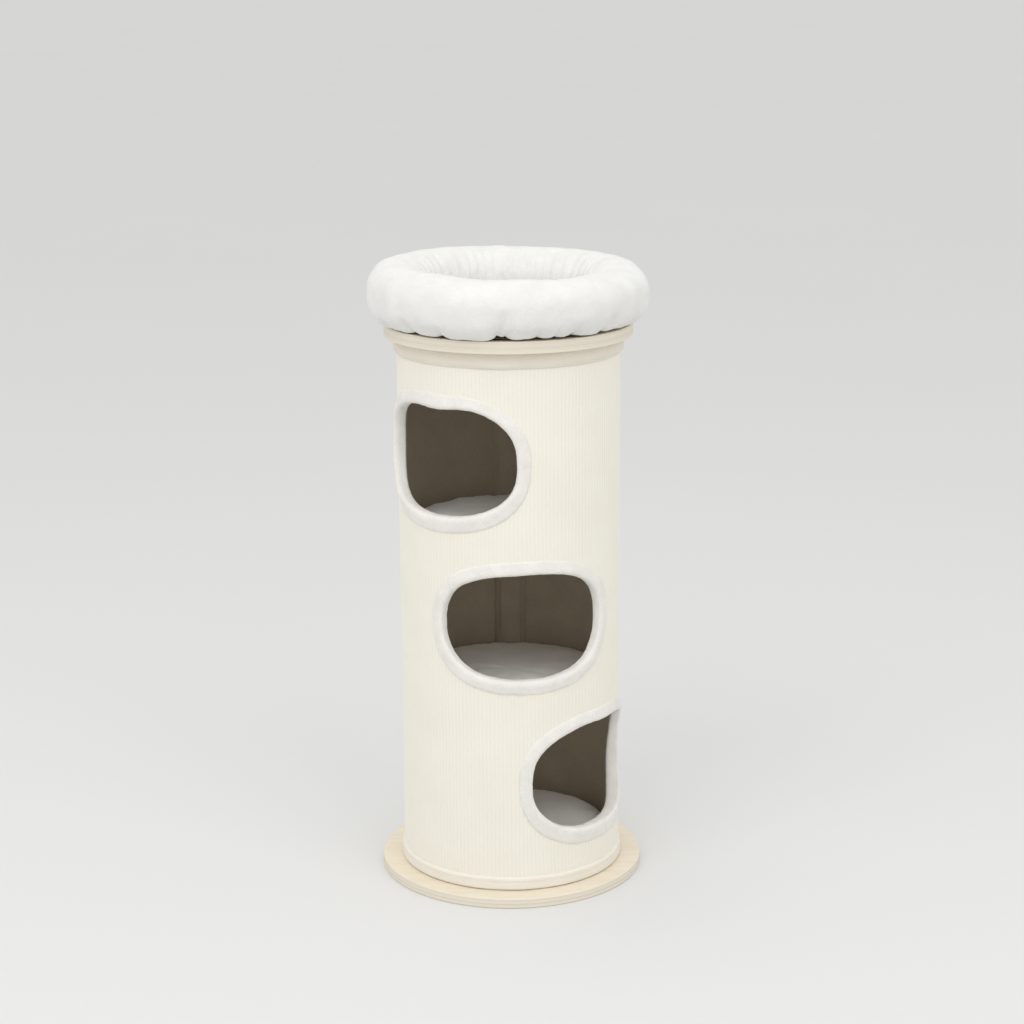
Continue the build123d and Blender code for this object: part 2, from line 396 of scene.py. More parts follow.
def swell(piece: bpy.types.Object, held: np.ndarray, pressure: float, cap: float, spare: float) -> None:
    """Swells a stuffed cover by a cloth simulation, then subdivides it.

    The cover is a net of springs with air inside, without gravity, stepped through a few frames. The held
    points are its seams. A point that has moved further than the cap is drawn back to the cap.

    Args:
        piece: the closed cover, a little smaller than its final shape.
        held: which vertices stay where they are.
        pressure: push of the filling on the cover.
        cap: furthest move, in metres.
        spare: share by which the cloth is longer than its seams, which makes gathers.
    """
    start = read_points(piece)
    seams = piece.vertex_groups.new(name="seams")
    seams.add(np.flatnonzero(held).tolist(), 1.0, "REPLACE")
    cloth = piece.modifiers.new("swell", "CLOTH")
    cloth.settings.use_pressure = True
    cloth.settings.uniform_pressure_force = pressure
    cloth.settings.effector_weights.gravity = 0
    cloth.settings.vertex_group_mass = seams.name
    cloth.settings.shrink_min = -spare
    cloth.settings.bending_stiffness = 2.0
    cloth.collision_settings.use_collision = False
    for frame in range(1, SWELL_FRAMES + 1):
        bpy.context.scene.frame_set(frame)
    shown = piece.evaluated_get(bpy.context.evaluated_depsgraph_get())
    move = read_points(shown) - start
    piece.modifiers.remove(cloth)
    piece.vertex_groups.clear()
    bpy.context.scene.frame_set(1)
    size = np.linalg.norm(move, axis=1, keepdims=True)
    LOG.info("%-26s swells by %.1f mm, at most %.1f", piece.name, size.mean() / MM, size.max() / MM)
    write_points(piece, start + move * np.minimum(1, cap / np.maximum(size, 1e-9)))
    subdivide(piece)


# ---- finishes -------------------------------------------------------------------------------------
class Graph:
    """A material's node tree, with short calls to add nodes and join them."""

    def __init__(self, name: str) -> None:
        """Starts an empty material with a Principled shader joined to its output."""
        self.material = bpy.data.materials.new(name)
        self.material.use_nodes = True
        self.tree = self.material.node_tree
        self.tree.nodes.clear()
        self.shader = self.add("ShaderNodeBsdfPrincipled")
        self.join(self.shader.outputs["BSDF"], self.add("ShaderNodeOutputMaterial").inputs["Surface"])
        self.place = self.add("ShaderNodeTexCoord").outputs["Object"]

    def add(self, kind: str, **settings: object) -> bpy.types.Node:
        """Adds a node and sets its own properties."""
        node = self.tree.nodes.new(kind)
        for key, value in settings.items():
            setattr(node, key, value)
        return node

    def join(self, source: bpy.types.NodeSocket, target: bpy.types.NodeSocket) -> None:
        """Links one socket to another."""
        self.tree.links.new(source, target)

    def stretched(self, scale: Sequence[float]) -> bpy.types.NodeSocket:
        """Object coordinates multiplied along each axis."""
        mapping = self.add("ShaderNodeMapping")
        self.join(self.place, mapping.inputs["Vector"])
        mapping.inputs["Scale"].default_value = scale
        return mapping.outputs["Vector"]

    def noise(
        self, wave: float, detail: float = 2.0, scale: Sequence[float] = (1, 1, 1)
    ) -> bpy.types.NodeSocket:
        """Random cloud, from 0 to 1.

        Args:
            wave: usual distance between its bumps, in metres.
            detail: how many finer layers it has.
            scale: stretch along each axis; under 1 makes the bumps longer.

        Returns:
            The cloud's value.
        """
        node = self.add("ShaderNodeTexNoise")
        self.join(self.stretched(scale), node.inputs["Vector"])
        node.inputs["Scale"].default_value = 1 / wave
        node.inputs["Detail"].default_value = detail
        return node.outputs["Fac"]

    def ramp(
        self, value: bpy.types.NodeSocket, stops: Sequence[tuple[float, Colour]]
    ) -> bpy.types.NodeSocket:
        """Colours a value from 0 to 1 by a few stops."""
        node = self.add("ShaderNodeValToRGB")
        self.join(value, node.inputs["Fac"])
        ramp = node.color_ramp
        while len(ramp.elements) < len(stops):
            ramp.elements.new(0.5)
        for element, (position, colour) in zip(ramp.elements, stops):
            element.position = position
            element.color = (*colour, 1)
        return node.outputs["Color"]

    def mix(
        self,
        factor: bpy.types.NodeSocket | float,
        first: bpy.types.NodeSocket | Colour,
        second: bpy.types.NodeSocket | Colour,
        how: str = "MIX",
    ) -> bpy.types.NodeSocket:
        """Mixes two colours.

        Args:
            factor: share of the second colour, as a number or a socket.
            first: the colour underneath.
            second: the colour on top.
            how: name of the way of mixing, such as MULTIPLY.

        Returns:
            The mixed colour.
        """
        node = self.add("ShaderNodeMix", data_type="RGBA", blend_type=how)
        for value, target in ((factor, node.inputs[0]), (first, node.inputs[6]), (second, node.inputs[7])):
            if isinstance(value, bpy.types.NodeSocket):
                self.join(value, target)
            else:
                target.default_value = value if isinstance(value, float) else (*value, 1)
        return node.outputs[2]

    def maths(self, how: str, first: bpy.types.NodeSocket, second: float) -> bpy.types.NodeSocket:
        """One sum on a value, such as ADD or LESS_THAN."""
        node = self.add("ShaderNodeMath", operation=how)
        self.join(first, node.inputs[0])
        node.inputs[1].default_value = second
        return node.outputs[0]

    def bump(self, height: bpy.types.NodeSocket, depth: float, strength: float = 1.0) -> None:
        """Adds fine relief to what the surface already has.

        Args:
            height: value from 0 to 1.
            depth: how far 1 stands above 0, in metres.
            strength: share of the effect.
        """
        node = self.add("ShaderNodeBump")
        self.join(height, node.inputs["Height"])
        node.inputs["Distance"].default_value = depth
        node.inputs["Strength"].default_value = strength
        normal = self.shader.inputs["Normal"]
        if normal.is_linked:
            self.join(normal.links[0].from_socket, node.inputs["Normal"])
        self.join(node.outputs["Normal"], normal)

    def colour(self, source: bpy.types.NodeSocket) -> None:
        """Sends a colour to the shader."""
        self.join(source, self.shader.inputs["Base Color"])

    def set(self, **values: float | Colour) -> None:
        """Sets plain numbers on the shader; an underscore stands for a space in a socket's name."""
        for key, value in values.items():
            socket = self.shader.inputs[key.replace("_", " ")]
            socket.default_value = (*value, 1) if isinstance(value, tuple) else value


def shade(colour: Colour, amount: float) -> Colour:
    """The colour made lighter or darker by a factor, kept under 1."""
    return tuple(min(0.97, part * amount) for part in colour)


@dataclass(frozen=True)
class Plush:
    """Short-pile plush: soft tufts, crushed patches and a pale sheen."""

    name: str
    colour: Colour
    tuft: float = 1.3 * MM
    patch: float = 28 * MM
    sheen: float = 0.35

    def build(self) -> bpy.types.Material:
        """Makes the material."""
        graph = Graph(self.name)
        patches = graph.ramp(
            graph.noise(self.patch, 3),
            [(0.32, shade(self.colour, 0.955)), (0.68, shade(self.colour, 1.02))],
        )
        tufts = graph.noise(self.tuft, 2)
        grain = graph.ramp(tufts, [(0.3, (0.88, 0.875, 0.87)), (0.6, (1, 1, 1))])
        graph.colour(graph.mix(0.65, patches, grain, "MULTIPLY"))
        graph.bump(tufts, 0.5 * MM, 0.55)
        graph.bump(graph.noise(0.4 * self.tuft, 1), 0.2 * MM, 0.5)
        graph.set(Roughness=0.95, Sheen_Weight=self.sheen, Sheen_Roughness=0.45, Specular_IOR_Level=0.15)
        return graph.material


@dataclass(frozen=True)
class RibbedCloth:
    """Cloth with upright ribs: painted shade darkens its grooves by the rib's height, and the knit shows as
    small stitches.
    """

    name: str
    colour: Colour
    stitch: float = 1.7 * MM

    def build(self) -> bpy.types.Material:
        """Makes the material, which reads the rib attribute, from 0 in a groove to 1 on a crest, to paint
        shade into the grooves.
        """
        graph = Graph(self.name)
        rib = graph.add("ShaderNodeAttribute", attribute_name=RIB).outputs["Fac"]
        # painted shade: the grooves between the ribs are drawn darker than the crests
        ribs = graph.ramp(rib, [(0.0, shade(self.colour, 0.965)), (0.75, self.colour)])
        clouds = graph.ramp(graph.noise(60 * MM, 3), [(0.3, (0.975, 0.972, 0.962)), (0.7, (1, 1, 1))])
        base = graph.mix(1.0, ribs, clouds, "MULTIPLY")
        fuzz = graph.noise(0.8 * MM, 2)
        speckle = graph.ramp(fuzz, [(0.3, (0.9, 0.895, 0.88)), (0.62, (1, 1, 1))])
        graph.colour(graph.mix(0.6, base, speckle, "MULTIPLY"))
        wave = graph.add("ShaderNodeTexWave", wave_type="BANDS", bands_direction="Z", wave_profile="SIN")
        graph.join(graph.place, wave.inputs["Vector"])
        wave.inputs["Scale"].default_value = WAVE_PERIOD / self.stitch
        wave.inputs["Distortion"].default_value = 1.5
        wave.inputs["Detail"].default_value = 1.0
        graph.bump(wave.outputs["Fac"], 0.12 * MM, 0.5)
        graph.bump(fuzz, 0.25 * MM, 0.5)
        graph.set(Roughness=0.92, Sheen_Weight=0.2, Sheen_Roughness=0.5, Specular_IOR_Level=0.2)
        return graph.material


@dataclass(frozen=True)
class WovenCloth:
    """Plain woven cloth or tape, with crossing threads."""

    name: str
    colour: Colour
    thread: float = 0.7 * MM

    def build(self) -> bpy.types.Material:
        """Makes the material: two sets of bands cross at right angles, and their product is the weave."""
        graph = Graph(self.name)
        clouds = graph.ramp(
            graph.noise(25 * MM, 3),
            [(0.3, shade(self.colour, 0.98)), (0.7, shade(self.colour, 1.005))],
        )
        waves = []
        for direction in ("DIAGONAL", "Z"):
            wave = graph.add("ShaderNodeTexWave", bands_direction=direction, wave_profile="SIN")
            graph.join(graph.place, wave.inputs["Vector"])
            wave.inputs["Scale"].default_value = WAVE_PERIOD / self.thread
            wave.inputs["Distortion"].default_value = 0.6
            waves.append(wave.outputs["Color"])
        weave = graph.mix(0.5, waves[0], waves[1])
        toned = graph.ramp(weave, [(0.25, (0.9, 0.89, 0.875)), (0.75, (1, 1, 1))])
        graph.colour(graph.mix(0.5, clouds, toned, "MULTIPLY"))
        graph.bump(weave, 0.15 * MM, 0.5)
        graph.bump(graph.noise(0.5 * MM, 1), 0.1 * MM, 0.4)
        graph.set(Roughness=0.88, Sheen_Weight=0.12, Sheen_Roughness=0.5, Specular_IOR_Level=0.25)
        return graph.material


@dataclass(frozen=True)
class Felt:
    """Needled felt: tangled fibres in two tones."""

    name: str
    colour: Colour
    fibre: float = 1.1 * MM

    def build(self) -> bpy.types.Material:
        """Makes the material."""
        graph = Graph(self.name)
        fibres = graph.noise(self.fibre, 4, (1, 1, 0.45))
        tones = graph.ramp(fibres, [(0.3, shade(self.colour, 0.85)), (0.72, shade(self.colour, 1.12))])
        patches = graph.ramp(graph.noise(45 * MM, 3), [(0.3, (0.9, 0.9, 0.9)), (0.7, (1, 1, 1))])
        graph.colour(graph.mix(1.0, tones, patches, "MULTIPLY"))
        graph.bump(fibres, 0.35 * MM, 0.6)
        graph.set(Roughness=0.97, Sheen_Weight=0.15, Sheen_Roughness=0.5, Specular_IOR_Level=0.1)
        return graph.material


@dataclass(frozen=True)
class Plywood:
    """Pale plywood: grain on the faces, and thin plies that turn light and dark down the cut edge."""

    name: str
    face: Colour
    edge: Colour
    low: float
    thickness: float
    plies: int = 7
    core_share: float = 0.44  # height of the dark core ply in the thickness
    core_half: float = 0.45 * MM

    def build(self) -> bpy.types.Material:
        """Makes the material, which tells a face from an edge by how far its normal leans from upright."""
        graph = Graph(self.name)
        grain = graph.noise(9 * MM, 5, (0.055, 1, 1))
        pores = graph.noise(1.1 * MM, 3, (0.05, 1, 1))
        bands = graph.noise(55 * MM, 2, (0.16, 1, 1))
        light, dark = shade(self.face, 1.03), shade(self.face, 0.95)
        face = graph.ramp(grain, [(0.32, dark), (0.5, self.face), (0.7, light)])
        banded = graph.ramp(bands, [(0.3, (0.96, 0.93, 0.88)), (0.65, (1, 1, 1))])
        face = graph.mix(0.4, face, banded, "MULTIPLY")
        porous = graph.ramp(pores, [(0.34, (0.8, 0.72, 0.6)), (0.46, (1, 1, 1))])
        face = graph.mix(0.22, face, porous, "MULTIPLY")
        parts = graph.add("ShaderNodeSeparateXYZ")
        graph.join(graph.place, parts.inputs[0])
        rise = graph.maths("SUBTRACT", parts.outputs["Z"], self.low)
        ply = graph.maths("MULTIPLY", rise, self.plies / self.thickness)
        odd = graph.maths("LESS_THAN", graph.maths("PINGPONG", ply, 1.0), 0.5)
        glue = graph.maths("LESS_THAN", graph.maths("FRACT", ply, 0.0), 0.07)
        streaks = graph.noise(2.2 * MM, 4, (1, 1, 3))
        edge = graph.mix(odd, self.edge, shade(self.edge, 0.95))
        streaked = graph.ramp(streaks, [(0.3, (0.88, 0.83, 0.76)), (0.65, (1, 1, 1))])
        edge = graph.mix(0.4, edge, streaked, "MULTIPLY")
        edge = graph.mix(glue, edge, shade(self.edge, 0.87))
        core = graph.maths("COMPARE", rise, self.core_share * self.thickness)
        core.node.inputs[2].default_value = self.core_half
        edge = graph.mix(core, edge, shade(self.edge, 0.78))
        normal = graph.add("ShaderNodeSeparateXYZ")
        graph.join(graph.add("ShaderNodeNewGeometry").outputs["Normal"], normal.inputs[0])
        upright = graph.maths("GREATER_THAN", graph.maths("ABSOLUTE", normal.outputs["Z"], 0.0), 0.5)
        graph.colour(graph.mix(upright, edge, face))
        graph.bump(pores, 0.08 * MM, 0.35)
        graph.bump(grain, 0.12 * MM, 0.3)
        graph.set(Roughness=0.5, Specular_IOR_Level=0.35)
        return graph.material


@dataclass(frozen=True)
class Fibreboard:
    """Raw pressed board, in brown with pale flecks."""

    name: str
    colour: Colour

    def build(self) -> bpy.types.Material:
        """Makes the material."""
        graph = Graph(self.name)
        flecks = graph.noise(1.6 * MM, 4)
        graph.colour(graph.ramp(flecks, [(0.3, shade(self.colour, 0.8)), (0.7, shade(self.colour, 1.2))]))
        graph.bump(flecks, 0.1 * MM, 0.5)
        graph.set(Roughness=0.8, Specular_IOR_Level=0.2)
        return graph.material


@dataclass(frozen=True)
class Zinc:
    """Zinc-plated steel with fine handling marks."""

    name: str
    colour: Colour

    def build(self) -> bpy.types.Material:
        """Makes the material."""
        graph = Graph(self.name)
        marks = graph.noise(2.5 * MM, 4)
        graph.colour(graph.ramp(marks, [(0.3, shade(self.colour, 0.85)), (0.7, shade(self.colour, 1.1))]))
        graph.join(
            graph.ramp(graph.noise(1.2 * MM, 3), [(0.3, (0.28,) * 3), (0.7, (0.42,) * 3)]),
            graph.shader.inputs["Roughness"],
        )
        graph.bump(marks, 0.02 * MM, 0.4)
        graph.set(Metallic=1.0)
        return graph.material


@dataclass(frozen=True)
class Paper:
    """Plain pale studio paper for the floor."""

    name: str
    colour: Colour

    def build(self) -> bpy.types.Material:
        """Makes the material."""
        graph = Graph(self.name)
        graph.colour(graph.ramp(graph.noise(1.5, 2), [(0.2, shade(self.colour, 0.985)), (0.8, self.colour)]))
        graph.set(Roughness=0.9, Specular_IOR_Level=0.1)
        return graph.material


def dress(piece: bpy.types.Object, material: bpy.types.Material) -> None:
    """Gives the piece one material all over."""
    piece.data.materials.clear()
    piece.data.materials.append(material)


def settle(piece: bpy.types.Object, body: Ride, slot: str, *nodes: str) -> bpy.types.Object:
    """Ties a finished piece to its body and hides the parts that it stands for.

    Args:
        piece: the finished piece.
        body: what it moves with.
        slot: the record's material slot; not used.
        nodes: the CAD nodes that it replaces.

    Returns:
        The same piece.
    """
    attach(piece, body.value)
    if nodes:
        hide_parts(*nodes)
    LOG.info("%-26s %7d faces, rides on %s", piece.name, len(piece.data.polygons), body.value)
    return piece


# ---- the doorways ---------------------------------------------------------------------------------
@dataclass(frozen=True)
class Bump:
    """One place where hand sewing changes a doorway's trim.

    It pulls the outline out by amount, makes the face stand prouder by lift, and carries the lip
    further in by tuck. Turn and width are degrees along the outline, from +across towards up.
    """

    turn: float
    width: float
    amount: float
    lift: float = 0.0
    tuck: float = 0.0


@dataclass(frozen=True)
class Doorway:
    """One rounded opening in the wall, on the unrolled cloth: across is along the wall, up is +Z."""

    storey: Storey
    wall_radius: float
    face_width: float = 20 * MM
    half_angle: float = math.radians(43.5)
    top_fullness: float = 2.5
    bottom_fullness: float = 2.4

    @property
    def angle(self) -> float:
        """Angle of the doorway's middle round the barrel."""
        return DOOR_ANGLES[self.storey]

    @property
    def middle_height(self) -> float:
        """Height of the doorway's middle, from its trim's box."""
        low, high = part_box(f"trim_{self.storey.value}")
        return (low.z + high.z) / 2

    @property
    def half_height(self) -> float:
        """Half the clear height inside the trim."""
        low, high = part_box(f"trim_{self.storey.value}")
        return (high.z - low.z) / 2 - self.face_width

    @property
    def half_width(self) -> float:
        """Half the clear width inside the trim, along the wall."""
        return self.half_angle * self.wall_radius

    def outline(self, count: int, margin: float = 0.0) -> np.ndarray:
        """The rounded outline, anticlockwise and evenly spaced.

        Each quarter is a superellipse: |across / half width|^n + |up / half height|^n = 1, where n is the
        top's or the bottom's fullness.

        Args:
            count: how many points.
            margin: how far outside the clear opening.

        Returns:
            Rows of (across, up) from the doorway's middle.
        """
        turn = np.linspace(0, TURN, 1440, endpoint=False)
        power = np.where(np.sin(turn) >= 0, 2 / self.top_fullness, 2 / self.bottom_fullness)
        across = (self.half_width + margin) * signed_power(np.cos(turn), power)
        up = (self.half_height + margin) * signed_power(np.sin(turn), power)
        return even_loop(np.stack([across, up], 1), count)

    def holds(self, angle: np.ndarray, height: np.ndarray, margin: float) -> np.ndarray:
        """Which points of the wall lie inside the outline grown by a margin.

        Args:
            angle: radians from the front.
            height: metres above the floor.
            margin: how far outside the clear opening.

        Returns:
            True where the opening is.
        """
        apart = (angle - self.angle + math.pi) % TURN - math.pi
        across = np.abs(apart) * self.wall_radius / (self.half_width + margin)
        up = (height - self.middle_height) / (self.half_height + margin)
        power = np.where(up >= 0, self.top_fullness, self.bottom_fullness)
        return across**power + np.abs(up) ** power < 1


# ---- sub-assemblies -------------------------------------------------------------------------------
HAND_SEWING: dict[Storey, tuple[Bump, ...]] = {
    Storey.LOWER: (
        Bump(224, 28, 1.8 * MM),
        Bump(250, 12, 0.9 * MM),
        Bump(300, 26, 1.0 * MM),
        Bump(112, 16, 1.2 * MM),
        Bump(88, 12, -0.9 * MM),
        Bump(-20, 60, 0.0, lift=-2.6 * MM),
        Bump(-44, 48, 0.0, tuck=7.5 * MM),
    ),
    Storey.MIDDLE: (
        Bump(104, 26, -2.2 * MM),
        Bump(20, 22, 0.6 * MM),
        Bump(320, 20, 0.8 * MM),
        Bump(180, 24, 1.6 * MM),
    ),
    Storey.UPPER: (
        Bump(88, 15, -4.6 * MM),
        Bump(56, 18, 2.4 * MM),
        Bump(333, 20, 2.2 * MM),
        Bump(215, 20, 1.0 * MM),
        Bump(180, 55, 0.0, lift=2.6 * MM),
    ),
}
FACE_SPREAD: dict[Storey, float] = {Storey.LOWER: 0.42, Storey.MIDDLE: 0.08, Storey.UPPER: 0.28}


@dataclass
class DoorTrim:
    """White plush bound round a doorway: a soft flat band outside, wrapped over the cut edge inwards."""

    door: Doorway
    material: bpy.types.Material
    path_points: int = 620
    section_points: int = 62
    face_start: float = 6.1 * MM
    edge_hold: float = 0.5  # share of the hand sewing's pull that the band's outer edge doesn't follow
    section: tuple[tuple[float, float], ...] = (
        (9.0, -10.4),
        (4.8, -11.8),
        (1.6, -11.0),
        (0.5, -8.0),
        (0.2, -3.5),
        (0.4, -0.2),
        (1.7, 2.4),
        (4.4, 3.9),
        (8.2, 4.1),
        (12.5, 3.3),
        (16.5, 2.4),
        (19.0, 1.4),
        (20.0, 0.0),
        (19.5, -1.2),
        (12.0, -1.9),
        (6.2, -2.6),
        (6.0, -7.5),
    )

    def build(self) -> bpy.types.Object:
        """Carries the section along the outline.

        A section point (out, lift) at outline point P with outward normal N lies at P + out * N on the
        unrolled wall, and lift above it. Each bump of the hand sewing counts by exp(-(turn from the
        bump / width)^2), less so at the outer edge, and the face is wider towards the bottom. Smooth
        random heights move the points along the section's own normal: slow folds, and a fine pile.

        Returns:
            The trim.
        """
        storey, door = self.door.storey, self.door
        seed = 11 + 10 * list(Storey).index(storey)
        path = door.outline(self.path_points)
        outward = loop_normals(path)
        turn = np.degrees(np.arctan2(path[:, 1] / door.half_height, path[:, 0] / door.half_width))
        sewn, proud, deep = np.zeros((3, self.path_points))
        for bump in HAND_SEWING[storey]:
            apart = (turn - bump.turn + 180) % 360 - 180
            share = np.exp(-((apart / bump.width) ** 2))
            sewn += bump.amount * share
            proud += bump.lift * share
            deep += bump.tuck * share
        section = smooth_loop(self.section, self.section_points) * MM
        away = loop_normals(section)
        if loop_area(section) < 0:
            away = -away
        shape = (self.path_points, self.section_points)
        length = float(np.linalg.norm(np.roll(path, -1, 0) - path, axis=1).sum())
        girth = float(np.linalg.norm(np.roll(section, -1, 0) - section, axis=1).sum())
        slow = band_noise(shape, (length, girth), 60 * MM, seed) * 0.18 * MM
        folds = band_noise(shape, (length, girth), 17 * MM, seed + 1) * 0.12 * MM
        pile = np.clip(band_noise(shape, (length, girth), 2.4 * MM, seed + 2), -1.8, 1.8) * 0.24 * MM
        move = slow + folds + pile
        spread = 1 + FACE_SPREAD[storey] * np.clip(-outward[:, 1], 0, 1)[:, None] ** 2
        wide = np.clip(section[:, 0] - self.face_start, 0, None)[None, :]
        follow = 1 - self.edge_hold * wide / wide.max()
        out = section[None, :, 0] + wide * (spread - 1) + sewn[:, None] * follow + move * away[None, :, 0]
        height, depth = section[:, 1].max(), -section[:, 1].min()
        raised = np.where(section[:, 1] > 0, proud[:, None] / height, deep[:, None] / depth)
        lift = section[None, :, 1] * (1 + raised) + move * away[None, :, 1]
        across = path[:, None, 0] + out * outward[:, None, 0]
        up = path[:, None, 1] + out * outward[:, None, 1]
        radius = door.wall_radius
        grid = wall_points(door.angle + across / radius, radius + lift, door.middle_height + up)
        name = f"trim_{storey.value}"
        piece = Surface().add_grid(grid, wrap=(True, True)).to_object(f"plush_{name}")
        face_outwards(piece)
        dress(piece, self.material)
        settle(piece, Ride.TREE, "white_plush", name)
        return piece


@dataclass(frozen=True)
class Hem:
    """A band of binding cloth round one end of the sleeve; its shares are of the CAD hem's own size."""

    node: str
    foot_down: bool
    tall_share: float
    bulge_share: float
    stitch_share: float
    seed: int


BOTTOM_HEM = Hem("bottom_hem", True, tall_share=0.88, bulge_share=0.8, stitch_share=0.7, seed=21)
TOP_HEM = Hem("top_hem", False, tall_share=1.17, bulge_share=1.0, stitch_share=0.02, seed=22)


@dataclass
class Barrel:
    """The cloth on the barrel: ribbed cover, hems, rear seam and felt linings."""

    doors: Sequence[Doorway]
    cover_cloth: bpy.types.Material
    hem_cloth: bpy.types.Material
    # a darker copy of the hem cloth for the top hem: painted shade under the overhanging top board
    top_hem_painted_shade_cloth: bpy.types.Material
    felt: bpy.types.Material
    thread: bpy.types.Material
    ribs: int = 172
    rib_depth: float = 0.45 * MM
    rib_samples: tuple[float, ...] = (0.0, 0.22, 0.5, 0.78)
    rib_heights: tuple[float, ...] = (0.0, 0.85, 1.0, 0.85)
    sleeve_thickness: float = 1.6 * MM
    sleeve_inset: float = 1.5 * MM
    crisp_edge: float = math.radians(60)
    row_step: float = 11 * MM
    cut_margin: float = 9.5 * MM
    lining_margin: float = 4.5 * MM
    felt_thickness: float = 0.6 * MM
    outline_samples: int = 360
    batten_reach: float = 15.2 * MM
    strip_crest: float = 6.7 * MM
    strip_foot: float = 2.3 * MM
    stitch_step: float = 3.9 * MM
    radius: float = field(init=False)
    low: float = field(init=False)
    high: float = field(init=False)

    def __post_init__(self) -> None:
        """Reads the sleeve's size from the frame."""
        low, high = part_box("ribbed_cover")
        self.radius = (high.x - low.x) / 2
        self.low, self.high = low.z, high.z

    def cover(self) -> bpy.types.Object:
        """The ribbed sleeve with its three holes.

        Radius = barrel radius - rib depth * (1 - rib height) + slow waves, where rib height repeats
        along the angle: 0 in a narrow groove and 1 on a broad crest. Faces inside a doorway are left
        out, and the trim covers their ragged edge, which is shaded crisp so that the cloth beside it
        stays light.

        Returns:
            The cover.
        """
        angle = (np.arange(self.ribs)[:, None] + np.array(self.rib_samples)[None, :]) * TURN / self.ribs
        angle = angle.ravel() + math.pi
        rib = np.tile(self.rib_heights, self.ribs)
        rows = int(round((self.high - self.low) / self.row_step)) + 1
        height = np.linspace(self.low + self.sleeve_inset, self.high - self.sleeve_inset, rows)
        shape, size = (len(angle), rows), (TURN * self.radius, self.high - self.low)
        slow = np.clip(band_noise(shape, size, 160 * MM, 3), -1.5, 1.5) * 0.15 * MM
        wander = band_noise(shape, size, 90 * MM, 4) * 0.25 * MM / self.radius
        radius = self.radius - self.rib_depth * (1 - rib)[:, None] + slow - 0.2 * MM
        grid = wall_points(angle[:, None] + wander, radius, height[None, :])
        mid_angle = (angle + np.r_[angle[1:], angle[0] + TURN]) / 2
        mid_height = (height[1:] + height[:-1]) / 2
        keep = np.ones((len(angle), rows - 1), bool)
        for door in self.doors:
            keep &= ~door.holds(mid_angle[:, None], mid_height[None, :], self.cut_margin)
        surface = Surface(values=np.repeat(rib[:, None], rows, 1))
        piece = surface.add_grid(grid, wrap=(True, False), keep=keep).to_object("ribbed_sleeve")
        solid = piece.modifiers.new("cloth", "SOLIDIFY")
        solid.thickness = self.sleeve_thickness
        solid.offset = -1.0
        apply_modifiers(piece)
        piece.data.set_sharp_from_angle(angle=self.crisp_edge)
        dress(piece, self.cover_cloth)
        settle(piece, Ride.TREE, "ribbed_cloth", "ribbed_cover")
        return piece

    def hem_piece(self, hem: Hem) -> bpy.types.Object:
        """A smooth band of binding cloth sewn round one end of the sleeve.

        The section is a flattened roll, turned about the axis, with slow waves along it. Its thick edge
        is at the sleeve's end.

        Args:
            hem: which one.

        Returns:
            The hem.
        """
        low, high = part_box(hem.node)
        tall = (high.z - low.z) * hem.tall_share
        full = ((high.x - low.x) / 2 - self.radius) * hem.bulge_share
        corners = (
            (-1.4 * MM, 0.09 * tall),
            (0.5 * full, 0.06 * tall),
            (0.95 * full, 0.13 * tall),
            (1.04 * full, 0.3 * tall),
            (1.0 * full, 0.55 * tall),
            (0.86 * full, 0.84 * tall),
            (0.5 * full, 0.985 * tall),
            (-1.4 * MM, 0.97 * tall),
        )
        section = smooth_loop(corners, 40)
        columns = 720
        shape = (columns, len(section))
        size = (TURN * self.radius, 3 * tall)
        waves = band_noise(shape, size, 70 * MM, hem.seed) * 0.25 * MM
        waves += band_noise(shape, size, 9 * MM, hem.seed + 5) * 0.07 * MM
        angle = np.linspace(0, TURN, columns, endpoint=False)
        front = np.clip(section[:, 0] / full, 0, 1)
        radius = self.radius + section[None, :, 0] + waves * front[None, :]
        rise = section[None, :, 1]
        height = low.z + rise if hem.foot_down else high.z - rise
        grid = wall_points(angle[:, None], radius, height)
        piece = Surface().add_grid(grid, wrap=(True, True)).to_object(f"cloth_{hem.node}")
        face_outwards(piece)
        # the top hem gets the darker cloth: painted shade under the overhanging top board
        dress(piece, self.hem_cloth if hem.foot_down else self.top_hem_painted_shade_cloth)
        return settle(piece, Ride.TREE, "hem_cloth", hem.node)

    def stitches(self, name: str, spots: np.ndarray, along: np.ndarray, out: np.ndarray) -> bpy.types.Object:
        """A row of sewn stitches, each a small bowed six-sided thread.

        Args:
            name: the piece's name.
            spots: middle of each stitch.
            along: unit vector along each stitch.
            out: unit vector away from the cloth.

        Returns:
            The row as one piece.
        """
        length, thick = 2.6 * MM, 0.42 * MM
        share = np.linspace(-1, 1, 5)
        bow = (1 - share**2) * 0.55 * MM
        girth = thick * np.sqrt(np.clip(1 - 0.75 * share**2, 0, 1))
        ring = np.linspace(0, TURN, 6, endpoint=False)
        side = np.cross(out, along)
        centre = spots[:, None, :] + along[:, None, :] * (share * length / 2)[None, :, None]
        centre = centre + out[:, None, :] * (bow - 0.15 * MM)[None, :, None]
        around = side[:, None, None, :] * np.cos(ring)[None, None, :, None]
        around = around + out[:, None, None, :] * np.sin(ring)[None, None, :, None]
        grid = centre[:, :, None, :] + around * girth[None, :, None, None]
        ends = [np.broadcast_to(grid[:, k].mean(1)[:, None, None], grid[:, :1].shape) for k in (0, -1)]
        surface = Surface()
        for stitch in np.concatenate([ends[0], grid, ends[1]], 1):
            surface.add_turned(stitch)
        piece = surface.to_object(name)
        dress(piece, self.thread)
        return settle(piece, Ride.TREE, "hem_cloth")

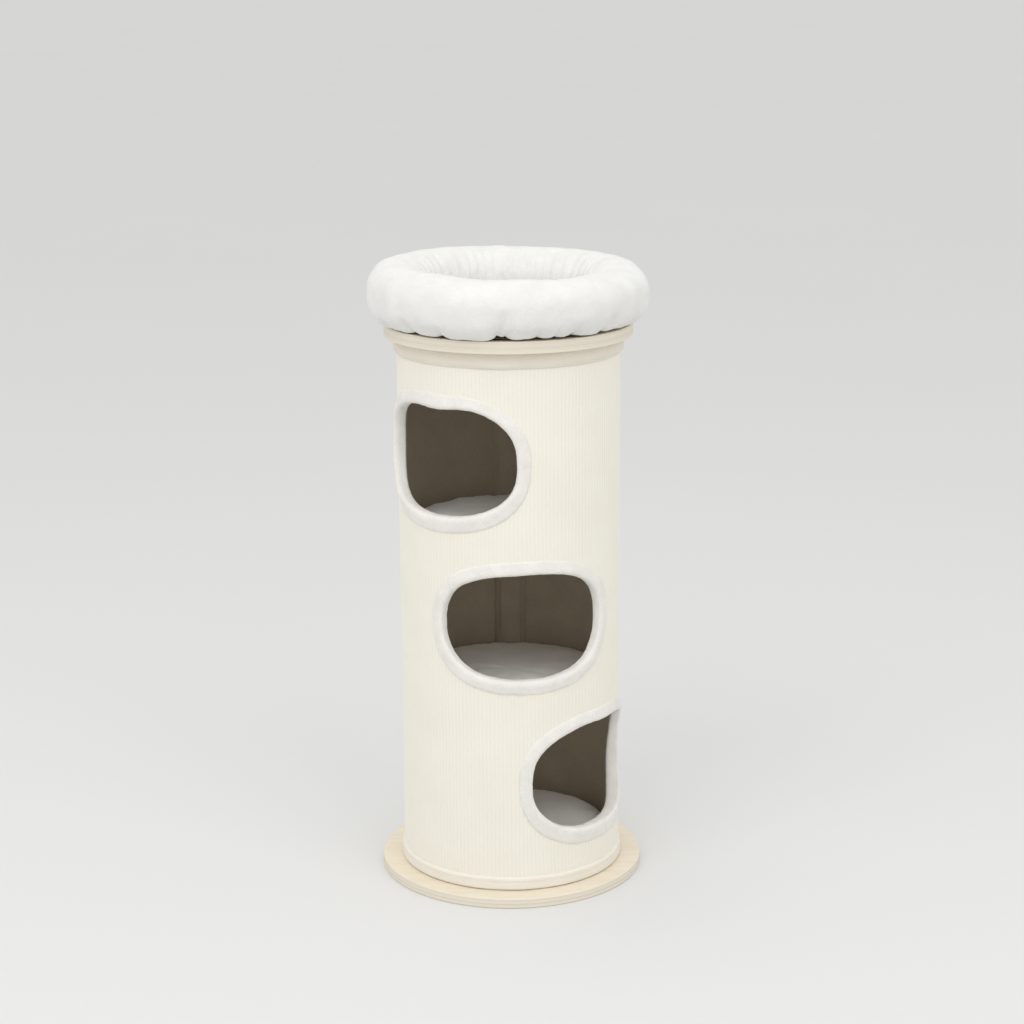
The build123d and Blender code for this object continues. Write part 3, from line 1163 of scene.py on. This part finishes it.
    def hem_stitches(self) -> list[bpy.types.Object]:
        """A row of stitches along the inner edge of each hem."""
        rows = []
        for hem in (BOTTOM_HEM, TOP_HEM):
            low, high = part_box(hem.node)
            height = low.z + hem.stitch_share * (high.z - low.z)
            bulge = (high.x - low.x) / 2 - self.radius
            count = int(TURN * self.radius / self.stitch_step)
            angle = np.linspace(0, TURN, count, endpoint=False)
            spots = wall_points(angle, self.radius + 0.9 * bulge, height)
            along = np.stack([np.cos(angle), np.sin(angle), 0 * angle], 1)
            out = np.stack([np.sin(angle), -np.cos(angle), 0 * angle], 1)
            rows.append(self.stitches(f"{hem.node}_stitching", spots, along, out))
        return rows

    def rear_seam(self) -> list[bpy.types.Object]:
        """The sleeve's closing seam at the rear: a lapped fold with a row of stitches beside it."""
        count = 260
        height = np.linspace(self.low + 20 * MM, self.high - 18 * MM, count)
        section = np.array(
            [(-7.0, -1.4), (-6.2, 0.2), (-4.5, 0.8), (0.0, 0.9), (4.5, 0.95), (5.8, 0.5), (7.0, -1.4)]
        )
        sway = band_noise((count, 4), (self.high - self.low, 0.05), 120 * MM, 31)[:, 0] * 0.5 * MM
        across = section[None, :, 0] * MM + sway[:, None]
        angle = math.pi + across / self.radius
        grid = wall_points(angle, self.radius + section[None, :, 1] * MM, height[:, None])
        ends = [np.repeat(row.mean(0)[None, None, :], len(section), 1) for row in (grid[0], grid[-1])]
        piece = Surface().add_turned(np.concatenate([ends[0], grid, ends[1]])).to_object("rear_seam")
        face_outwards(piece)
        dress(piece, self.hem_cloth)
        settle(piece, Ride.TREE, "hem_cloth")
        steps = np.arange(height[0] + 4 * MM, height[-1] - 4 * MM, self.stitch_step)
        turn = np.full(len(steps), math.pi + 3.6 * MM / self.radius)
        spots = wall_points(turn, self.radius + 0.95 * MM, steps)
        out = np.stack([np.sin(turn), -np.cos(turn), 0 * turn], 1)
        along = np.tile([0.0, 0.0, 1.0], (len(steps), 1))
        return [piece, self.stitches("rear_seam_stitching", spots, along, out)]

    def lining(self, storey: Storey) -> bpy.types.Object:
        """The felt on the inside of one room's wall, with its doorway left open.

        Radius = lining radius + slow waves of the glued felt; it stops each side of the rear batten.

        Args:
            storey: which room.

        Returns:
            The lining.
        """
        node = f"lining_{storey.value}"
        low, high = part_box(node)
        wall = (high.x - low.x) / 2
        door = next(door for door in self.doors if door.storey is storey)
        columns = 420
        rows = int((high.z - low.z) / (5 * MM))
        batten = self.batten_reach / wall
        angle = np.linspace(-math.pi + batten, math.pi - batten, columns)
        height = np.linspace(low.z + 0.4 * MM, high.z - 0.4 * MM, rows)
        size = (TURN * wall, high.z - low.z)
        seed = 41 + list(Storey).index(storey)
        waves = band_noise((columns, rows), size, 75 * MM, seed) * 0.3 * MM
        waves += band_noise((columns, rows), size, 6 * MM, seed + 7) * 0.05 * MM
        grid = wall_points(angle[:, None], wall - 0.9 * MM + waves, height[None, :])
        mid_angle, mid_height = (angle[1:] + angle[:-1]) / 2, (height[1:] + height[:-1]) / 2
        keep = ~door.holds(mid_angle[:, None], mid_height[None, :], self.lining_margin)
        piece = Surface().add_grid(grid, keep=keep).to_object(f"felt_{node}")
        piece.data.flip_normals()
        solid = piece.modifiers.new("felt", "SOLIDIFY")
        solid.thickness = self.felt_thickness
        solid.offset = -1.0
        apply_modifiers(piece)
        dress(piece, self.felt)
        settle(piece, Ride.TREE, "taupe_felt", node)
        flat = ((2 * (math.pi - batten)) * wall, high.z - low.z)
        area = flat[0] * flat[1] - loop_area(door.outline(self.outline_samples, self.lining_margin))
        strip = self.batten_strip(storey)
        return piece

    def batten_strip(self, storey: Storey) -> bpy.types.Object:
        """The felt strip over one room's rear batten: a shallow channel carried up the wall.

        Args:
            storey: which room.

        Returns:
            The strip.
        """
        low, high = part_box(f"lining_{storey.value}")
        batten_low, batten_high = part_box("seam_battens")
        half = (batten_high.x - batten_low.x) / 2
        wall = (high.x - low.x) / 2
        crest, foot = wall - self.strip_crest, wall - self.strip_foot
        one_side = (
            (half + 9 * MM, foot),
            (half + 2.2 * MM, foot),
            (half + 0.9 * MM, foot - 1.4 * MM),
            (half + 0.4 * MM, crest + 0.9 * MM),
            (half - 0.9 * MM, crest),
        )
        profile = np.array([(-across, out) for across, out in one_side] + list(one_side[::-1]))
        height = np.linspace(low.z + 0.5 * MM, high.z - 0.5 * MM, 60)
        sway = band_noise((60, 4), (high.z - low.z, 0.03), 50 * MM, 91)[:, 0] * 0.3 * MM
        angle = math.pi + (profile[:, None, 0] + sway[None, :]) / profile[:, None, 1]
        grid = wall_points(angle, profile[:, None, 1], height[None, :])
        piece = Surface().add_grid(grid).to_object(f"felt_batten_strip_{storey.value}")
        solid = piece.modifiers.new("felt", "SOLIDIFY")
        solid.thickness = self.felt_thickness
        solid.offset = 0.0
        apply_modifiers(piece)
        dress(piece, self.felt)
        return settle(piece, Ride.TREE, "taupe_felt")

    def build(self) -> None:
        """Makes the cover with all that is sewn on it, and the three linings."""
        sewn = [self.hem_piece(hem) for hem in (BOTTOM_HEM, TOP_HEM)]
        sewn += self.hem_stitches() + self.rear_seam()
        cover = self.cover()
        samples, margin = self.outline_samples, self.cut_margin
        holes = sum(loop_area(door.outline(samples, margin)) for door in self.doors)
        for storey in Storey:
            self.lining(storey)


@dataclass
class RoundPad:
    """A round stuffed pad: two discs of plush sewn together round its edge."""

    node: str
    body: Ride
    slot: str
    plush: bpy.types.Material
    seed: int
    rise: float
    fill: float
    cell: float = 4.5 * MM
    rows: int = 60
    columns: int = 200

    def build(self) -> bpy.types.Object:
        """Turns a flat rounded section and swells its top.

        With reach from 0 at the middle to 1 at the seam, the height above the seam is half the
        thickness * (1 - reach^16)^0.4. Low lumps on top fade towards the edge.

        Returns:
            The pad.
        """
        low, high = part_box(self.node)
        radius, half = (high.x - low.x) / 2 - 1.5 * MM, (high.z - low.z) / 2 - 0.4 * MM
        t = np.linspace(-1, 1, self.rows)[:, None]
        reach = np.sin((1 - np.abs(t)) * math.pi / 2) ** 0.8
        top_half = half - 0.5 * self.rise
        arc = np.where(t < 0, -half, top_half) * np.clip(1 - reach**16, 0, 1) ** 0.4
        angle = np.linspace(0, TURN, self.columns, endpoint=False)[None, :]
        lumps = band_noise((self.rows, self.columns), (2 * radius, 3.5 * radius), 65 * MM, self.seed)
        lumps *= np.clip(4 * (1 - reach), 0, 1) * np.clip(6 * reach, 0, 1) * (t > 0)
        grid = wall_points(angle, reach * radius, (low.z + high.z) / 2 + arc + 0.7 * MM * lumps)
        piece = Surface().add_turned(grid).to_object(f"plush_{self.node}")
        face_outwards(piece)
        remesh(piece, self.cell)
        points = read_points(piece)
        edge = np.hypot(points[:, 0], points[:, 1]) > radius - 0.9 * self.cell
        swell(piece, edge | (points[:, 2] < low.z + 2 * MM), 3.0, self.rise, 0.02)
        raise_pile(piece, 0.16 * MM, 3.4 * MM, self.seed + 1)
        dress(piece, self.plush)
        settle(piece, self.body, self.slot, self.node)
        return piece


@dataclass
class Room:
    """What lies on a room's floor: a plush pad with a corded edge."""

    storey: Storey
    plush: bpy.types.Material
    cording: bpy.types.Material
    cord: float = 1.7 * MM

    def build(self) -> None:
        """Makes the pad and its cord: a circle carried round a slightly wavy circle at the seam."""
        node = f"floor_pad_{self.storey.value}"
        seed = 51 + 2 * list(Storey).index(self.storey)
        RoundPad(node, Ride.TREE, "pad_plush", self.plush, seed, 2.5 * MM, 0.55).build()
        low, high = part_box(node)
        angle = np.linspace(0, TURN, 360, endpoint=False)[:, None]
        ring = np.linspace(0, TURN, 10, endpoint=False)[None, :]
        wave = 0.5 * MM * np.sin(5 * angle + 1) + 0.3 * MM * np.sin(11 * angle)
        out = (high.x - low.x) / 2 - 2.4 * MM + self.cord * np.cos(ring)
        grid = wall_points(angle, out, (low.z + high.z) / 2 + wave + self.cord * np.sin(ring))
        piece = Surface().add_grid(grid, wrap=(True, True)).to_object(f"edge_cording_{self.storey.value}")
        face_outwards(piece)
        dress(piece, self.cording)
        settle(piece, Ride.TREE, "pad_plush")


@dataclass(frozen=True)
class Gather:
    """One pinch where the roll is drawn in to its underside; lean tips it sideways as it climbs."""

    angle: float
    depth: float
    lean: float = 0.0


FRONT_GATHERS: tuple[Gather, ...] = (
    Gather(-64, 2.5 * MM, -1),
    Gather(-46, 3.6 * MM, -2),
    Gather(-31, 3.2 * MM, 2),
    Gather(-5.2, 6.2 * MM, 3),
    Gather(-1.6, 4.4 * MM, 4),
    Gather(13, 2.6 * MM, -1),
    Gather(21, 2.2 * MM, 1),
    Gather(29, 4.2 * MM, 2),
    Gather(46, 5.0 * MM, 2),
    Gather(66, 2.5 * MM, 1),
)


@dataclass
class Bed:
    """The round bed on top: a gathered plush roll, a crowned middle cushion and a woven underside."""

    plush: bpy.types.Material
    base_cloth: bpy.types.Material
    columns: int = 400
    section_points: int = 60
    side_inset: float = 4.5 * MM
    top_inset: float = 0.5 * MM
    swelling: float = 6.0 * MM
    droop: float = 4.0 * MM
    rear_gathers: int = 13
    gather_spot: tuple[float, float] = (-62, 36)  # degrees round the section: middle and width
    pucker_spot: tuple[float, float] = (155, 40)
    droop_spot: tuple[float, float] = (-66, 16)
    crease_width: float = math.radians(0.45)
    crease_reach: float = 40 * MM
    low: float = field(init=False)
    high: float = field(init=False)
    outer: float = field(init=False)
    inner: float = field(init=False)

    def __post_init__(self) -> None:
        """Reads the bed's size from the frame."""
        low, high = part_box("bed_bolster")
        self.low, self.high = low.z, high.z
        self.outer = (high.x - low.x) / 2
        self.inner = (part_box("bed_pad")[1].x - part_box("bed_pad")[0].x) / 2 + 1 * MM

    def gathers(self) -> list[Gather]:
        """The listed front gathers, and others spread round the rest with random steps."""
        rng = np.random.default_rng(5)
        rest = np.linspace(82, 278, self.rear_gathers) + rng.uniform(-5, 5, self.rear_gathers)
        depths = rng.uniform(2.0, 5.0, self.rear_gathers) * MM
        leans = rng.uniform(-3, 3, self.rear_gathers)
        return list(FRONT_GATHERS) + [Gather(*values) for values in zip(rest, depths, leans)]

    def top_height(self, angle: np.ndarray) -> np.ndarray:
        """Height of the roll's crest, which stands a little higher at the back left than at the front."""
        return self.high - 2.5 * MM - 2.5 * MM * np.cos(angle) - 3.5 * MM * np.sin(angle)

    @staticmethod
    def near(degrees: np.ndarray, spot: tuple[float, float]) -> np.ndarray:
        """Share of an effect round the section: exp(-(degrees from the spot / its width)^2)."""
        return np.exp(-(((degrees - spot[0]) / spot[1]) ** 2))

    def roll(self) -> bpy.types.Object:
        """The plush roll.

        Its section is a rounded form about a middle circle: out = half width * cos^p and up = reach *
        sin^p of the section angle, flatter below where it rests. Each gather pulls it in along its
        normal near the lower outer seam by depth * exp(-|angle apart / width|^1.4), and finer puckers run
        from the inner seam up to the crest. The lower outer side hangs down by the droop.

        Returns:
            The roll.
        """
        middle = (self.outer + self.inner) / 2
        half_width = (self.outer - self.inner) / 2 - self.side_inset
        centre = (self.low + self.high) / 2
        angle = np.linspace(0, TURN, self.columns, endpoint=False)[:, None]
        psi = np.linspace(0, TURN, self.section_points, endpoint=False)[None, :]
        upper = np.sin(psi) >= 0
        out = half_width * signed_power(np.cos(psi), np.where(upper, 0.94, 0.8))
        reach = np.where(upper, self.top_height(angle) - centre - self.top_inset, centre - self.low)
        up = reach * signed_power(np.sin(psi), np.where(upper, 0.94, 0.62))
        slope_out, slope_up = np.gradient(out[0]), np.gradient(up, axis=1).mean(0)
        length = np.hypot(slope_out, slope_up)
        degrees = np.degrees((psi + math.pi) % TURN - math.pi)
        near_base = self.near(degrees, self.gather_spot)
        near_inside = self.near(np.abs(degrees), self.pucker_spot)
        move = np.zeros((self.columns, self.section_points))
        for gather in self.gathers():
            climb = (degrees + 75) / 60
            spot = np.radians(gather.angle + gather.lean * climb)
            apart = (angle - spot + math.pi) % TURN - math.pi
            width = np.radians(1.2 + 0.22 * gather.depth / MM) * np.clip(1 + 0.5 * climb, 0.6, 2)
            move -= gather.depth * np.exp(-(np.abs(apart / width) ** 1.4)) * near_base
        pucker = np.sin(53 * angle + 1.9 * np.sin(4 * angle) + 1.1 * np.sin(9 * angle))
        move += 1.1 * MM * pucker * near_inside
        shape = (self.columns, self.section_points)
        size = (TURN * middle, math.pi * (half_width + centre - self.low))
        calmer_below = np.where(degrees < -75, 0.3, 1)
        move += band_noise(shape, size, 150 * MM, 61) * 0.9 * MM * calmer_below
        move += band_noise(shape, size, 45 * MM, 62) * 0.25 * MM * calmer_below
        radius = middle + out + move * (slope_up / length)[None, :]
        height = centre + up - move * (slope_out / length)[None, :]
        height -= self.droop * self.near(degrees, self.droop_spot)
        grid = wall_points(angle, radius, height)
        piece = Surface().add_grid(grid, wrap=(True, True)).to_object("plush_bolster")
        face_outwards(piece)
        held = (up < -0.96 * reach) | np.broadcast_to(degrees < -100, up.shape)
        swell(piece, held.ravel(), 4.0, self.swelling, 0.02)
        self.crease(piece)
        raise_pile(piece, 0.14 * MM, 3.4 * MM, 63)
        dress(piece, self.plush)
        settle(piece, Ride.BED, "bed_plush", "bed_bolster")
        return piece

    def crease(self, piece: bpy.types.Object) -> None:
        """Cuts a sharp crease into the roll above each gather.

        Points move towards the roll's middle circle by depth / 3 * exp(-(angle apart / crease width)^2),
        fading out with the square of the height up to the crease's reach.

        Args:
            piece: the swollen roll.
        """
        points = read_points(piece)
        angle = np.arctan2(points[:, 0], -points[:, 1])
        middle = (self.outer + self.inner) / 2
        centre = wall_points(angle, middle, (self.low + self.high) / 2)
        fade = np.clip(1 - (points[:, 2] - self.low) / self.crease_reach, 0, 1) ** 2
        fade *= np.hypot(points[:, 0], points[:, 1]) > middle
        pull = np.zeros(len(points))
        for gather in self.gathers():
            apart = (angle - math.radians(gather.angle) + math.pi) % TURN - math.pi
            pull += gather.depth / 3 * np.exp(-((apart / self.crease_width) ** 2))
        inward = centre - points
        inward /= np.linalg.norm(inward, axis=1, keepdims=True)
        write_points(piece, points + inward * (pull * fade)[:, None])

    def underside(self) -> bpy.types.Object:
        """The woven cloth under the bed: a flat disc with slight waves towards its sewn rim.

        Returns:
            The underside.
        """
        low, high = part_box("bed_base_cloth")
        radius = (high.x - low.x) / 2
        share = np.linspace(0, 1, 60)[:, None]
        angle = np.linspace(0, TURN, 300, endpoint=False)[None, :]
        waves = 0.12 * MM * np.sin(24 * angle + 3 * np.sin(2 * angle)) * share**3
        top = wall_points(angle, radius * share, high.z - 0.25 * MM + waves)
        bottom = wall_points(angle, radius * share[::-1], low.z + 0.3 * MM + waves[::-1])
        piece = Surface().add_turned(np.concatenate([top, bottom])).to_object("woven_underside")
        face_outwards(piece)
        dress(piece, self.base_cloth)
        settle(piece, Ride.BED, "bed_base_cloth", "bed_base_cloth")
        return piece

    def build(self) -> None:
        """Makes the roll, the middle cushion and the underside."""
        self.roll()
        RoundPad("bed_pad", Ride.BED, "bed_plush", self.plush, 71, 6 * MM, 0.6).build()
        self.underside()


BOARDS: tuple[str, ...] = (
    "base_board",
    "bottom_board",
    "middle_floor_board",
    "upper_floor_board",
    "cap_board",
    "top_board",
)


@dataclass
class Woodwork:
    """The carried-over CAD pieces, each given its real finish."""

    nodes: dict[str, bpy.types.Object]
    face: Colour = (0.805, 0.73, 0.595)
    edge: Colour = (0.80, 0.74, 0.63)
    thick_board: float = 16 * MM  # a thicker board has seven plies, a thinner one five

    def build(self) -> None:
        """Dresses the boards, walls, battens, fasteners and tapes."""
        for node in BOARDS:
            low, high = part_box(node)
            plies = 7 if high.z - low.z > self.thick_board else 5
            finish = Plywood(f"{node}_plywood", self.face, self.edge, low.z, high.z - low.z, plies)
            dress_node(self.nodes[node], finish.build())
        board = Fibreboard("fibreboard", (0.40, 0.27, 0.16)).build()
        pine = Plywood("batten_wood", (0.74, 0.60, 0.42), (0.70, 0.56, 0.39), 0.0, 1.0, 1).build()
        zinc = Zinc("zinc_plate", (0.62, 0.63, 0.65)).build()
        tape = WovenCloth("fastener_tape", (0.86, 0.84, 0.80), 0.5 * MM).build()
        for storey in Storey:
            dress_node(self.nodes[f"shell_{storey.value}"], board)
        dress_node(self.nodes["seam_battens"], pine)
        for node in ("base_screws", "top_screws", "wall_staples"):
            dress_node(self.nodes[node], zinc)
        for node in ("hook_strips", "loop_strips"):
            dress_node(self.nodes[node], tape)


def dress_node(node: bpy.types.Object, material: bpy.types.Material) -> None:
    """Puts a better finish on a CAD node by its material slots, leaving its mesh alone."""
    if not node.material_slots:
        node.data.materials.append(material)
    for slot in node.material_slots:
        slot.material = material


@dataclass
class Studio:
    """Pale floor, soft lights and the camera."""

    floor_colour: Colour = (0.74, 0.74, 0.735)
    sky: Colour = (0.95, 0.95, 0.945)
    sky_strength: float = 0.95
    floor_reach: float = 60.0
    eye: tuple[float, float, float] = (0.0036, -3.357, 1.393)
    tilt_down: float = math.radians(14.067)
    lean: float = math.radians(-0.356)
    lens: float = 81.34
    aim: tuple[float, float, float] = (0, 0, 0.5)

    def camera(self) -> None:
        """Places the camera in front, a little above, looking slightly down."""
        data = bpy.data.cameras.new("camera")
        data.lens = self.lens
        data.sensor_width = 36
        data.clip_end = 200
        camera = bpy.data.objects.new("camera", data)
        bpy.context.scene.collection.objects.link(camera)
        turned = Matrix.Rotation(math.pi / 2 - self.tilt_down, 4, "X") @ Matrix.Rotation(self.lean, 4, "Z")
        camera.matrix_world = Matrix.Translation(self.eye) @ turned
        bpy.context.scene.camera = camera

    def light(self, name: str, place: Sequence[float], side: float, power: float) -> None:
        """A square soft light aimed at the barrel's middle.

        Args:
            name: the light's name.
            place: its middle.
            side: its width, in metres.
            power: watts.
        """
        data = bpy.data.lights.new(name, "AREA")
        data.shape = "SQUARE"
        data.size = side
        data.energy = power
        lamp = bpy.data.objects.new(name, data)
        bpy.context.scene.collection.objects.link(lamp)
        lamp.location = place
        lamp.rotation_euler = (Vector(self.aim) - Vector(place)).to_track_quat("-Z", "Y").to_euler()

    def build(self) -> None:
        """Makes the floor, the sky and the lights."""
        bpy.context.scene.view_settings.view_transform = "Standard"
        side = np.array([-self.floor_reach, self.floor_reach])
        corners = np.stack(np.meshgrid(side, side, [-0.2 * MM], indexing="ij"), -1)[:, :, 0]
        floor = Surface().add_grid(corners).to_object("studio_floor")
        dress(floor, Paper("studio_paper", self.floor_colour).build())
        world = bpy.data.worlds.new("studio")
        world.use_nodes = True
        world.node_tree.nodes["Background"].inputs["Color"].default_value = (*self.sky, 1)
        world.node_tree.nodes["Background"].inputs["Strength"].default_value = self.sky_strength
        bpy.context.scene.world = world
        self.light("key_light", (-1.3, -2.3, 3.6), 2.4, 37)
        self.light("side_light", (1.5, -2.2, 3.2), 2.2, 19)
        self.camera()


def main(frame: dict) -> None:
    """Makes the studio, then each sub-assembly from the wall outwards.
    """
    Studio().build()
    cover_low, cover_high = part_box("ribbed_cover")
    wall = (cover_high.x - cover_low.x) / 2
    doors = [Doorway(storey, wall) for storey in Storey]
    white = Plush("white_plush", (0.86, 0.84, 0.79)).build()
    hem = WovenCloth("hem_cloth", (0.86, 0.815, 0.735)).build()
    Woodwork(frame["nodes"]).build()
    Barrel(
        doors,
        cover_cloth=RibbedCloth("ribbed_cloth", (0.89, 0.86, 0.77)).build(),
        hem_cloth=hem,
        # same cloth as the bottom hem, darker: painted shade under the overhanging top board
        top_hem_painted_shade_cloth=WovenCloth("top_hem_painted_shade_cloth", (0.815, 0.765, 0.672)).build(),
        felt=Felt("taupe_felt", (0.50, 0.43, 0.335)).build(),
        thread=WovenCloth("sewing_thread", (0.88, 0.85, 0.77), 0.3 * MM).build(),
    ).build()
    for door in doors:
        DoorTrim(door, white).build()
    pad = Plush("pad_plush", (0.88, 0.88, 0.86)).build()
    for storey in Storey:
        Room(storey, pad, hem).build()
    Bed(
        Plush("bed_plush", (0.815, 0.81, 0.79), sheen=0.3).build(),
        WovenCloth("bed_underside", (0.22, 0.18, 0.15)).build(),
    ).build()


logging.basicConfig(level=logging.INFO, format="%(message)s")
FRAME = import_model()

if __name__ == "__main__":
    main(FRAME)
